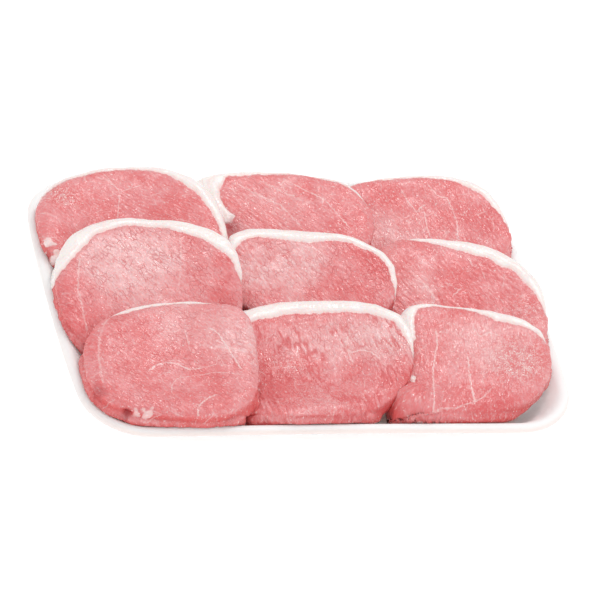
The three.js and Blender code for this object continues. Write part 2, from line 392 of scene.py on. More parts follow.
class PorkGraph(Graph):
    """A node tree that reads a chop's per-vertex values and works out where its markings show."""

    def __init__(self, tree: bpy.types.NodeTree) -> None:
        """Starts with the coordinates and the streaks that the markings share.

        Args:
            tree: The material's node tree.
        """
        super().__init__(tree)
        self.grain = self.mark(Mark.GRAIN)
        self.pale, self.cracked, self.marbled = self.parts(self.mark(Mark.LEAN))
        self.wet = self.mark(Mark.WET, "Fac")
        self.bent = WarpGroup().place(self, self.grain, 0.16, 3.2)
        self.fibres = self.noise(self.scaled(self.bent, (0.12, 0.9, 0.45)), 1.0, 3.0, 0.65)
        self.bundles = self.noise(self.scaled(self.bent, (0.2, 0.42, 0.3), 9.0), 1.0, 4.0, 0.66)

    def mark(self, mark: Mark, output: str = "Vector") -> Socket:
        """One of the chop's per-vertex values."""
        return self.node("ShaderNodeAttribute", attribute_name=mark.value).outputs[output]

    def borders(self, vector: Any, reach: tuple[float, float]) -> Socket:
        """Lines along the borders of a pattern's cells, which fade out over a reach."""
        border = self.cells(vector, 1.0, "DISTANCE_TO_EDGE").outputs["Distance"]
        return self.rise(border, *reach, 1.0, 0.0)

    def cracks(self) -> Socket:
        """Fine dark cracks between bundles of fibres, in patches.

        Returns:
            How much of a crack shows.
        """
        line = self.borders(self.scaled(self.bent, (0.17, 0.36, 0.3), 4.0), (0.0, 0.085))
        patch = self.rise(self.noise(self.bent, 0.11, 2.0), 0.42, 0.6)
        return self.times(line, patch, self.cracked)

    def seams(self) -> Socket:
        """A loose net of thin pale seams between muscles.

        Returns:
            How much of a seam shows.
        """
        bent = WarpGroup().place(self, self.grain, 0.07, 8.0)
        line = self.borders(self.scaled(bent, (0.05, 0.08, 0.06), 2.0), (0.003, 0.03))
        patch = self.rise(self.noise(self.grain, 0.1, 3.0, 0.65), 0.46, 0.62, 0.0, 0.5)
        return self.times(line, patch, self.marbled)

    def veins(self) -> Socket:
        """The chop's own pale veins, thin where they fade.

        Returns:
            How much of a vein shows.
        """
        aside, away, strength = self.parts(self.mark(Mark.VEIN))
        frayed = self.rise(self.noise(self.grain, 0.5, 3.0, 0.7), 0.25, 0.75, -0.45, 0.45)
        aside = self.calc("ABSOLUTE", self.calc("ADD", aside, frayed))
        line = self.rise(aside, 0.25, 0.62, 1.0, 0.0)
        near = self.rise(away, 1.6, 2.6, 1.0, 0.0)
        broken = self.rise(self.noise(self.grain, 0.3, 2.0), 0.36, 0.5, 0.45, 1.0)
        return self.times(line, near, strength, broken)

    def dots(self, cell: bpy.types.Node, channel: int, kept: tuple[float, float],
             size: tuple[float, float, float]) -> Socket:
        """Soft dots in some of a pattern's cells.

        Args:
            cell: The pattern.
            channel: Which of a cell's random values tells whether it has a dot.
            kept: Between which of those values the dots appear.
            size: Where in a cell a dot starts to fade and ends, and its strength.

        Returns:
            How much of a dot shows.
        """
        chosen = self.node("ShaderNodeSeparateColor", {0: cell.outputs["Color"]}).outputs[channel]
        return self.times(self.rise(cell.outputs["Distance"], *size, 0.0), self.rise(chosen, *kept))

    def flecks(self) -> Socket:
        """Short pale flecks of fat along the fibres, finer pale specks that are painted glints of moisture,
        and painted glints on beads of moisture on wet places.

        Returns:
            How much of a fleck or painted glint shows.
        """
        cell = self.cells(self.scaled(self.bent, (0.14, 0.6, 0.4), 6.0), 1.0)
        patch = self.rise(self.noise(self.bent, 0.12, 2.0), 0.4, 0.62)
        marks = self.times(self.dots(cell, 0, (0.55, 0.65), (0.06, 0.24, 1.0)), patch)
        crumb = self.cells(self.scaled(self.bent, (0.3, 0.52, 0.4), 11.0), 1.0)
        marks = self.calc("MAXIMUM", marks, self.dots(crumb, 1, (0.62, 0.7), (0.1, 0.27, 0.9)))
        # painted glints: fine pale specks of moisture
        fine = self.rise(self.noise(self.bent, 1.1, 2.0, 0.7), 0.62, 0.72, 0.0, 0.8)
        marks = self.times(self.calc("MAXIMUM", marks, fine), self.marbled)
        # painted glints on beads of moisture, on the wet places
        beads = self.rise(self.noise(self.bent, 1.2, 2.0, 0.6), 0.52, 0.6, 0.0, 1.3)
        beads = self.times(beads, self.rise(self.noise(self.bent, 0.3, 2.0), 0.38, 0.54))
        return self.calc("MAXIMUM", marks, self.times(beads, self.wet))

    def fat(self) -> tuple[Socket, ...]:
        """The back fat, with rosy layers along it, and the grooves that are told along with it.

        Returns:
            How much fat shows, how rosy it is, and how deep in a groove the place is.
        """
        told, presence, grooves = self.parts(self.mark(Mark.FAT))
        fray = self.rise(self.noise(self.grain, 0.35, 2.0, 0.5), 0.25, 0.75, -0.45, 0.45)
        depth = self.calc("ADD", told, fray)
        mask = self.times(self.rise(depth, -0.5, 0.55), presence)
        place = self.parts(self.grain)
        layers = {0: self.times(depth, 0.75), 1: self.times(place[0], 0.07), 2: self.times(place[1], 0.07)}
        layered = self.noise(self.node("ShaderNodeCombineXYZ", layers).outputs[0], 1.0, 2.0, 0.6)
        layered = self.rise(layered, 0.46, 0.66, 0.0, 0.4)
        near_lean = self.rise(depth, 0.2, 2.4, 0.7, 0.0)
        return mask, self.calc("MAXIMUM", layered, near_lean), self.calc("MINIMUM", grooves, 1.0)

    def height(self, cracks: Any, seams: Any, fat: Any) -> Socket:
        """Fine relief: fibres and bundles stand up, cracks sink, and fat is smoother.

        Args:
            cracks: How much of a crack shows.
            seams: How much of a pale seam shows.
            fat: How much fat shows.

        Returns:
            The height.
        """
        wavy = self.noise(self.scaled(self.grain, (0.3, 0.55, 0.4), 3.0), 1.0, 2.0, 0.5)
        beads = self.noise(self.grain, 0.7, 2.0, 0.5)
        muscle = self.total((self.fibres, 0.35), (self.bundles, 0.6), (wavy, 1.5), (cracks, -0.9),
                            (seams, 0.25), (beads, self.wet, 3.0))
        waxy = self.times(self.noise(self.grain, 0.4, 3.0, 0.5), 1.2)
        return self.total((muscle, self.calc("SUBTRACT", 1.0, fat)), (waxy, fat))


@dataclass(frozen=True)
class PorkFinish:
    """Raw pork loin: pink lean with pale seams, flecks and fine cracks, and white back fat, with painted
    shade on its sides, pits and gaps and painted highlights along its top edges and on wet places.
    """

    deep: tuple = rgb(229, 112, 113)
    lean: tuple = rgb(235, 148, 150)
    pale: tuple = rgb(244, 197, 197)
    rich: tuple = rgb(222, 98, 100)
    crack: tuple = rgb(214, 84, 88)
    seam: tuple = rgb(252, 222, 219)
    fat: tuple = rgb(253, 244, 241)
    fat_rosy: tuple = rgb(251, 213, 209)
    # the sides' deeper red: partly their own colour, partly painted shade
    shaded_flank: tuple = rgb(220, 90, 88)
    # painted shade for pits and for gaps between chops
    pit_and_gap_shade: tuple = rgb(160, 34, 40)
    surface: Surface = Surface(0.4, MM, 1.42, 0.15, (1.0, 0.35, 0.25), 2 * MM)
    roughness: tuple[float, float] = (0.18, 0.38)
    wet_gloss: float = 0.22
    least_roughness: float = 0.07

    def build(self) -> bpy.types.Material:
        """Makes the material.

        Returns:
            The material for all chops; what differs comes from their meshes.
        """
        made = bpy.data.materials.new("raw pork")
        made.use_nodes = True
        graph = PorkGraph(made.node_tree)
        cracks = graph.cracks()
        seams = graph.calc("MAXIMUM", graph.seams(), graph.veins())
        fat, rosy, grooves = graph.fat()
        colour = self.lean_colour(graph)
        # faces turned from up get a deeper red, partly the sides' own colour and partly painted shade
        for share, most, tone in ((graph.mark(Mark.SHADED_FLANK, "Fac"), 0.82, self.shaded_flank),
                                  (cracks, 0.65, self.crack), (seams, 0.8, self.seam),
                                  # the flecks carry painted glints too, in the seam's pale colour
                                  (graph.flecks(), 0.9, self.seam), (grooves, 0.7, self.rich)):
            colour = graph.blend(graph.times(share, most), colour, tone)
        colour = graph.blend(fat, colour, graph.blend(rosy, self.fat, self.fat_rosy))
        # painted shade in the lumps' pits and at gaps between chops
        colour = graph.blend(graph.mark(Mark.DARK, "Fac"), colour, self.pit_and_gap_shade)
        rough = graph.rise(graph.noise(graph.grain, 0.3, 3.0, 0.6), 0.35, 0.65, *self.roughness)
        rough = graph.calc("SUBTRACT", rough, graph.times(graph.wet, self.wet_gloss))
        rough = graph.calc("MAXIMUM", rough, self.least_roughness)
        self.surface.finish(graph, colour, rough, graph.height(cracks, seams, fat))
        return made

    def lean_colour(self, graph: PorkGraph) -> Socket:
        """Pink with slow changes, paler and richer patches, a painted highlight where the top turns down at
        its edge, a fine mottle and fibre streaks.

        Args:
            graph: The material's graph.

        Returns:
            The lean's colour.
        """
        mottle = graph.noise(graph.scaled(graph.grain, (0.5, 0.8, 0.6), 5.0), 1.0, 3.0, 0.7)
        slow = graph.rise(graph.noise(graph.grain, 0.05, 2.0), 0.36, 0.62, 0.25, 1.0)
        colour = graph.blend(slow, self.deep, self.lean)
        # the pale share also carries the painted highlight along the top's edge
        for value, rise, tone in (
                (graph.pale, (0.0, 1.0), self.pale), (graph.pale, (-1.0, 0.0, 0.9, 0.0), self.rich),
                (mottle, (0.5, 0.68, 0.0, 0.34), self.pale), (mottle, (0.34, 0.5, 0.3, 0.0), self.deep),
                (graph.fibres, (0.52, 0.7, 0.0, 0.36), self.pale),
                (graph.fibres, (0.32, 0.46, 0.26, 0.0), self.deep),
                (graph.bundles, (0.36, 0.52, 0.36, 0.0), self.deep)):
            colour = graph.blend(graph.rise(value, *rise), colour, tone)
        return colour


@dataclass(frozen=True)
class FoamFinish:
    """White pressed foam: satin, with faint beads, tinted by juice low down, and with painted shade and a
    painted pink reflection of the meat on the outside of its rolled top edge.
    """

    white: tuple = rgb(253, 251, 250)
    shade: tuple = rgb(249, 246, 244)
    juice: tuple = rgb(240, 196, 192)
    # painted shade, pink with the meat's reflection, for the outside of the rolled top edge
    lip_shade: tuple = rgb(243, 216, 210)
    beads_per_metre: float = 420.0
    floor_height: float = 3.8
    juice_height: float = 7.0
    lip_height: tuple[float, float] = (21.5, 23.5)
    surface: Surface = Surface(0.12, 0.6 * MM, 1.4, 0.8, (1.0, 0.95, 0.93), 11 * MM)

    def build(self) -> bpy.types.Material:
        """Makes the material.

        Returns:
            The foam's material.
        """
        made = bpy.data.materials.new("white foam")
        made.use_nodes = True
        graph = Graph(made.node_tree)
        place = graph.node("ShaderNodeTexCoord").outputs["Object"]
        bent = WarpGroup().place(graph, place, 60.0, 0.004)
        beads = graph.cells(bent, self.beads_per_metre, "SMOOTH_F1").outputs["Distance"]
        cloudy = graph.noise(place, 30.0, 3.0)
        colour = graph.blend(graph.rise(cloudy, 0.35, 0.65, 0.0, 0.5), self.white, self.shade)
        up = graph.parts(place)["Z"]
        low = graph.rise(up, self.floor_height * MM, self.juice_height * MM, 1.0, 0.0)
        inside = graph.rise(up, (self.floor_height - 0.8) * MM, self.floor_height * MM)
        pool = graph.rise(graph.noise(place, 45.0, 2.0), 0.3, 0.6, 0.15, 0.8)
        tint = graph.times(low, inside, pool)
        colour = graph.blend(tint, colour, self.juice)
        # painted shade and painted pink reflection on the high faces that look away from the middle
        crown = graph.rise(up, self.lip_height[0] * MM, self.lip_height[1] * MM)
        colour = graph.blend(graph.times(self.turned_away_shade(graph, place), crown), colour, self.lip_shade)
        fine = graph.noise(place, 1500.0, 2.0)
        height = graph.total((beads, 0.8), (fine, 0.3))
        self.surface.finish(graph, colour, graph.rise(cloudy, 0.3, 0.7, 0.5, 0.62), height)
        return made

    def turned_away_shade(self, graph: Graph, place: Any) -> Socket:
        """How much painted shade a place gets where its face looks away from the tray's middle, which
        darkens the outside of the rolled top edge with the meat's reflected pink.

        Args:
            graph: The material's graph.
            place: Coordinates on the tray.

        Returns:
            The painted shade's share.
        """
        away = graph.vector_calc("NORMALIZE", graph.vector_calc("MULTIPLY", place, (1.0, 1.0, 0.0)))
        facing = graph.node("ShaderNodeNewGeometry").outputs["Normal"]
        dot = graph.node("ShaderNodeVectorMath", {0: away, 1: facing}, operation="DOT_PRODUCT")
        turned = dot.outputs["Value"]
        along = graph.calc("ABSOLUTE", graph.parts(facing)["Y"])
        share = graph.calc("ADD", graph.times(along, 0.45), 0.35)
        return graph.times(graph.rise(turned, 0.1, 0.75), share)


@dataclass(frozen=True)
class FloorFinish:
    """The plain pale floor."""

    near: tuple = rgb(250, 250, 250)
    far: tuple = rgb(247, 247, 247)

    def build(self) -> bpy.types.Material:
        """Makes the material.

        Returns:
            The floor's material.
        """
        made = bpy.data.materials.new("pale floor")
        made.use_nodes = True
        graph = Graph(made.node_tree)
        place = graph.node("ShaderNodeTexCoord").outputs["Object"]
        cloudy = graph.noise(place, 3.0, 2.0)
        colour = graph.blend(cloudy, self.near, self.far)
        shader = graph.node("ShaderNodeBsdfPrincipled", {
            "Base Color": colour,
            "Roughness": 0.9,
            "Specular IOR Level": 0.1,
            "Emission Color": colour,
            "Emission Strength": 0.25,
        })
        graph.node("ShaderNodeOutputMaterial", {"Surface": shader.outputs[0]})
        return made


# ---------- the chops ----------


@dataclass(frozen=True)
class Patch:
    """A round place on a chop where its lean differs: where, in shares of its half size, and how much."""

    right: float
    back: float
    reach: float
    amount: float


@dataclass(frozen=True)
class Lump:
    """A small bump or pit: where, in shares of the half size, and its reach and height in millimetres."""

    right: float
    back: float
    up: float
    reach: float
    height: float
    fat: float = 0.0
    # how much painted shade the lump's pit or gap gets
    dark: float = 0.0


@dataclass(frozen=True)
class Vein:
    """A pale vein on a chop's top: its course in shares of the half size, its width in millimetres."""

    course: tuple[tuple[float, float], ...]
    width: float = 1.0
    strength: float = 0.8


class Surroundings:
    """Tells how far a chop's side is from the tray and from the other chops."""

    def __init__(self, own: str) -> None:
        """Gathers the CAD solids round a chop's node."""
        self.tray = self.tree(["tray"])
        self.others = self.tree([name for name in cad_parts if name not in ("tray", own)])

    @staticmethod
    def tree(nodes: Sequence[str]) -> BVHTree:
        """A search tree of some nodes' faces.

        Args:
            nodes: The CAD nodes.

        Returns:
            The tree.
        """
        shape = bmesh.new()
        for node in nodes:
            shape.from_mesh(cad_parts[node].data)
        made = BVHTree.FromBMesh(shape)
        shape.free()
        return made

    def room(self, place: Array, way: Array, reach: float) -> tuple[float, float]:
        """How far the tray and the nearest other chop are, both no more than the reach.

        Args:
            place: Where to look from, in millimetres.
            way: Which way to look.
            reach: How far to look.

        Returns:
            The two distances in millimetres.
        """
        start = Vector(place) * MM
        ahead = Vector(way).normalized()
        tray = self.tray.ray_cast(start, ahead, reach * MM)[3]
        other = self.others.ray_cast(start, ahead, reach * MM)[3]
        return (reach if tray is None else tray / MM, reach if other is None else other / MM)


@dataclass
class Chop:
    """One slice of loin: the CAD solid that it fills, its back fat and how its lean is marked.

    Angles are degrees anticlockwise from +X, seen from above, round the middle of the solid's box.
    """

    node: str
    seed: float
    grain: float
    fat: tuple[tuple[float, float], ...]
    pale: tuple[Patch, ...] = ()
    deep: tuple[Patch, ...] = ()
    wet: tuple[Patch, ...] = ()
    ragged: tuple[Patch, ...] = ()
    firm: tuple[Patch, ...] = ()
    veins: tuple[Vein, ...] = ()
    lumps: tuple[Lump, ...] = ()
    cracked: float = 0.5
    grooved: float = 0.6
    marbled: float = 0.9
    corner: float = 1.0
    voxel: float = 0.8
    smoothing: int = 7
    bins: int = 120
    slump: float = 8.0
    clearance: float = 0.3
    long_move: float = 0.9
    spread: float = 211.0

    def model(self) -> bpy.types.Object:
        """Grows the fine mesh from the CAD solid and shapes its surface.

        Returns:
            The chop's object, not yet dressed.
        """
        piece = new_object(self.node + "_cut", merged_copy(self.node))
        remesh = piece.modifiers.new("grow", "REMESH")
        remesh.mode = "VOXEL"
        remesh.voxel_size = self.voxel * MM
        apply_modifiers(piece)
        self.soften(piece, self.smoothing)
        places, normals = self.read(piece)
        places = places + self.settle(places, normals)
        self.write(piece, places)
        self.soften(piece, 2)
        places, normals = self.read(piece)
        fields = self.fields(places, normals)
        moved = places + self.held_back(places, self.relief(places, normals, fields))
        self.write(piece, self.below_top(moved))
        piece.data.polygons.foreach_set("use_smooth", [True] * len(piece.data.polygons))
        self.hand_marks(piece, places, fields)
        return piece

    @staticmethod
    def soften(piece: bpy.types.Object, rounds: int) -> None:
        """Smooths the facets of the solid away.

        Args:
            piece: The chop.
            rounds: How many times.
        """
        shape = bmesh.new()
        shape.from_mesh(piece.data)
        for _ in range(rounds):
            bmesh.ops.smooth_vert(shape, verts=shape.verts, factor=0.5,
                                  use_axis_x=True, use_axis_y=True, use_axis_z=True)
        bmesh.ops.recalc_face_normals(shape, faces=shape.faces)
        shape.to_mesh(piece.data)
        shape.free()

    @staticmethod
    def read(piece: bpy.types.Object) -> tuple[Array, Array]:
        """A mesh's vertices and their normals.

        Args:
            piece: The mesh's object.

        Returns:
            Places in millimetres, and normals, one to a row.
        """
        count = len(piece.data.vertices)
        places = np.empty(count * 3, np.float32)
        normals = np.empty(count * 3, np.float32)
        piece.data.vertices.foreach_get("co", places)
        piece.data.vertex_normals.foreach_get("vector", normals)
        return places.reshape(-1, 3).astype(float) / MM, normals.reshape(-1, 3).astype(float)

    @staticmethod
    def write(piece: bpy.types.Object, places: Array) -> None:
        """Moves a mesh's vertices to places in millimetres."""
        piece.data.vertices.foreach_set("co", (places * MM).astype(np.float32).ravel())
        piece.data.update()

    @staticmethod
    def below_top(places: Array) -> Array:
        """Presses what would rise past the solids' own top back under it.

        Args:
            places: The vertices.

        Returns:
            The vertices, none above the top.
        """
        soft = cad_box[1].z / MM - 1.2
        over = np.maximum(places[:, 2] - soft, 0.0)
        pressed = places.copy()
        pressed[:, 2] -= over - (1 - np.exp(-over))
        return pressed

    def settle(self, places: Array, normals: Array) -> Array:
        """Lets the soft side sag against the tray's wall and floor and against the other chops.

        Args:
            places: The vertices.
            normals: Their normals.

        Returns:
            The moves in millimetres.
        """
        moves = np.zeros_like(places)
        ways = normals.copy()
        ways[:, 2] = np.minimum(ways[:, 2], 0.0) - 0.25
        ways /= np.linalg.norm(ways, axis=1)[:, None]
        around = Surroundings(self.node)
        share = smoothstep(0.55, 0.05, normals[:, 2]) * smoothstep(-1.0, -0.94, normals[:, 2])
        share *= 1 - np.clip(self.patches(places, self.firm), 0, 1)
        for index in np.nonzero(share > 0.02)[0]:
            tray, other = around.room(places[index], ways[index], self.slump)
            gap = tray if tray < other else other
            push = (1.0 if tray < other else 0.45) * max(gap - self.clearance, 0.0)
            ease = max(0.0, min(1.0, (self.slump - gap) / (self.slump * 0.4)))
            moves[index] = ways[index] * push * ease * share[index]
        return moves

    def held_back(self, places: Array, moves: Array) -> Array:
        """Shortens the long moves that would enter the tray or another chop.

        Args:
            places: The vertices.
            moves: Their moves in millimetres.

        Returns:
            The moves that keep a small clearance.
        """
        around = Surroundings(self.node)
        kept = moves.copy()
        lengths = np.linalg.norm(moves, axis=1)
        for index in np.nonzero(lengths > self.long_move)[0]:
            room = min(around.room(places[index], moves[index], 3 * self.slump))
            allowed = max(room - self.clearance, 0.0)
            kept[index] *= min(1.0, allowed / lengths[index])
        return kept

    def extent(self) -> tuple[Array, Array]:
        """The middle of the solid's box and half its size, in millimetres."""
        low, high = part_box(self.node)
        return np.array((low + high) / 2) / MM, np.array((high - low) / 2) / MM

    def outline(self, places: Array) -> tuple[Array, Array]:
        """Where each vertex lies within the chop's outline.

        Args:
            places: The vertices.

        Returns:
            Each vertex's direction from the middle in radians, and its distance in from the outline.
        """
        away = places - self.extent()[0]
        angle = np.arctan2(away[:, 1], away[:, 0])
        distance = np.hypot(away[:, 0], away[:, 1])
        turn = 2 * math.pi / self.bins
        index = np.floor((angle + math.pi) / turn).astype(int) % self.bins
        reach = np.zeros(self.bins)
        np.maximum.at(reach, index, distance)
        for _ in range(2):
            reach = (np.roll(reach, 1) + 2 * reach + np.roll(reach, -1)) / 4
        centres = -math.pi + turn * (np.arange(-1, self.bins + 1) + 0.5)
        wrapped = np.concatenate([reach[-1:], reach, reach[:1]])
        slope = np.gradient(wrapped, turn) / wrapped
        reach_here = np.interp(angle, centres, wrapped)
        square = 1 / np.sqrt(1 + np.interp(angle, centres, slope) ** 2)
        return angle, (reach_here - distance) * square

    def fat_width(self, angle: Array) -> Array:
        """Width of the back fat in some directions, in millimetres."""
        turns, widths = np.array(self.fat).T
        return np.interp(angle, np.radians(turns), widths, period=2 * math.pi)

    def patches(self, places: Array, patches: Iterable[Patch]) -> Array:
        """How much some patches show.

        Args:
            places: The vertices.
            patches: The patches.

        Returns:
            One value to a vertex.
        """
        middle, half = self.extent()
        shares = (places - middle)[:, :2] / half[:2]
        total = np.zeros(len(places))
        for patch in patches:
            gap = np.hypot(shares[:, 0] - patch.right, shares[:, 1] - patch.back)
            total += patch.amount * np.exp(-((gap / patch.reach) ** 2))
        return total

    def lump_shares(self, places: Array) -> list[tuple[Lump, Array]]:
        """How far each vertex belongs to each lump.

        Args:
            places: The vertices.

        Returns:
            Each lump with one share to a vertex.
        """
        found = []
        middle, half = self.extent()
        for number, lump in enumerate(self.lumps):
            centre = middle + np.array([lump.right, lump.back, lump.up]) * half
            gap = np.linalg.norm(places - centre, axis=1)
            uneven = 0.75 if lump.reach < 6.0 else 0.2
            gap = gap * (1 + uneven * noise_at(places, 3.6, self.seed + number))
            found.append((lump, np.exp(-((gap / lump.reach) ** 2))))
        return found

    def vein_marks(self, places: Array) -> Array:
        """Which vein is nearest.

        Args:
            places: The vertices.

        Returns:
            How far aside of it in widths, how far away in millimetres, and its strength.
        """
        middle, half = self.extent()
        spots = places[:, :2]
        marks = np.zeros((len(places), 3))
        marks[:, 1] = 100.0
        for vein in self.veins:
            course = middle[:2] + np.array(vein.course) * half[:2]
            for start, end in zip(course[:-1], course[1:]):
                along = end - start
                length = np.linalg.norm(along)
                share = np.clip((spots - start) @ along / length ** 2, 0.0, 1.0)
                away = spots - start - share[:, None] * along
                gap = np.linalg.norm(away, axis=1)
                side = (along[0] * away[:, 1] - along[1] * away[:, 0]) / length
                aside = np.where(np.abs(side) > 1e-6, np.sign(side), 1.0) * gap
                nearer = gap < marks[:, 1]
                marks[nearer, 0] = aside[nearer] / vein.width
                marks[nearer, 1] = gap[nearer]
                marks[nearer, 2] = vein.strength
        return marks

    def along_grain(self, places: Array) -> Array:
        """Coordinates along and across the fibres, in millimetres, with each chop moved to its own."""
        turn = Matrix.Rotation(-math.radians(self.grain), 3, "Z")
        return (places - self.extent()[0]) @ np.array(turn).T + self.seed * self.spread

    def fields(self, places: Array, normals: Array) -> dict[str, Array]:
        """Works out what lies where on the chop.

        Args:
            places: The vertices.
            normals: Their normals.

        Returns:
            Named values, one to a vertex.
        """
        angle, inset = self.outline(places)
        wobble = 1.1 * noise_at(places, 11.0, self.seed) + 0.5 * noise_at(places, 3.5, self.seed + 1)
        width = self.fat_width(angle)
        deep_fat = width + wobble * smoothstep(0.0, 3.0, width) - inset
        presence = smoothstep(0.0, 1.2, width)
        lumps = self.lump_shares(places)
        # painted shade from the lumps, in their pits and at gaps between chops
        dark = np.zeros(len(places))
        for lump, share in lumps:
            if lump.fat:
                deep_fat = np.maximum(deep_fat, (share - 0.45) * 6.0 * lump.fat)
                presence = np.maximum(presence, smoothstep(0.2, 0.45, share) * lump.fat)
            dark = np.maximum(dark, share * lump.dark)
        top = smoothstep(0.15, 0.75, normals[:, 2])
        pale = self.patches(places, self.pale) + 0.22 * noise_at(places, 16.0, self.seed + 2)
        pale -= self.patches(places, self.deep)
        # painted highlight: the top is paler near its outline, where it turns down into the side
        edge_highlight = smoothstep(9.0, 2.0, inset) * top
        grain = self.along_grain(places)
        groove = 1 - np.abs(noise_at(grain, (11.0, 2.8, 6.0), self.seed + 5)) * 3.0
        groove = np.clip(groove, 0, 1) ** 2 * smoothstep(-0.2, 0.3, noise_at(grain, 15.0, self.seed + 6))
        return {
            "fat": smoothstep(-1.2, 1.2, deep_fat) * presence,
            "deep_fat": deep_fat,
            "presence": presence,
            "top": top,
            "groove": groove,
            # painted shade on the sides, together with their own deeper red
            "shaded_flank": 1 - smoothstep(0.05, 0.7, normals[:, 2]),
            # paler patches, plus the painted highlight along the top's edge
            "pale": np.clip(pale + 0.25 * edge_highlight, -1, 1),
            "wet": np.clip(self.patches(places, self.wet), 0, 1),
            "ragged": np.clip(self.patches(places, self.ragged), 0, 1),
            "dark": np.clip(dark, 0, 1),
            "raised": sum((lump.height * share for lump, share in lumps), np.zeros(len(places))),
        }

    def relief(self, places: Array, normals: Array, fields: dict[str, Array]) -> Array:
        """How far each vertex moves to give the surface its shape.

        Args:
            places: The vertices.
            normals: Their normals.
            fields: What lies where.

        Returns:
            The moves in millimetres.
        """
        grain = self.along_grain(places)
        lean = (1 - fields["fat"]) * fields["top"]
        swell = 0.6 * noise_at(places, 19.0, self.seed + 3) + 0.35 * noise_at(places, 7.0, self.seed + 4)
        cell = cell_edges(grain, (6.5, 4.4, 5.0), self.seed + 7)
        patch = smoothstep(-0.15, 0.25, noise_at(grain, 14.0, self.seed + 8))
        crack = np.exp(-((cell / 0.15) ** 2)) * patch
        seam = np.exp(-((fields["deep_fat"] / 1.1) ** 2)) * fields["top"] * fields["presence"]
        rounding = fields["fat"] * fields["top"] * np.clip(fields["deep_fat"] / 4.0, 0, 1)
        amount = swell * (0.4 + 0.6 * fields["top"])
        amount -= lean * (0.42 * self.grooved * fields["groove"] + 0.16 * self.cracked * crack)
        amount += 0.7 * rounding - 0.5 * seam
        amount += self.corner * (1 - fields["presence"]) * np.exp(-(((normals[:, 2] - 0.62) / 0.24) ** 2))
        amount += fields["ragged"] * 1.5 * noise_at(grain, (9.0, 2.0, 2.4), self.seed + 10)
        side = 1 - np.abs(normals[:, 2])
        amount += side * (0.5 * noise_at(places, 6.0, self.seed + 9) - 0.25)
        return normals * (amount + fields["raised"])[:, None]

    def hand_marks(self, piece: bpy.types.Object, places: Array, fields: dict[str, Array]) -> None:
        """Stores what the finish reads.

        Args:
            piece: The chop.
            places: Its vertices before the relief.
            fields: What lies where.
        """
        data = piece.data.attributes
        fat = np.stack([fields["deep_fat"], fields["presence"], fields["groove"] * self.grooved ** 2], 1)
        ones = np.ones(len(places))
        lean = np.stack([fields["pale"], ones * self.cracked, ones * self.marbled], 1)
        for mark, rows in ((Mark.GRAIN, self.along_grain(places)), (Mark.FAT, fat), (Mark.LEAN, lean),
                           (Mark.VEIN, self.vein_marks(places))):
            made = data.new(mark.value, "FLOAT_VECTOR", "POINT")
            made.data.foreach_set("vector", rows.astype(np.float32).ravel())
        for mark, key in ((Mark.SHADED_FLANK, "shaded_flank"), (Mark.WET, "wet"), (Mark.DARK, "dark")):
            data.new(mark.value, "FLOAT", "POINT").data.foreach_set("value", fields[key].astype(np.float32))
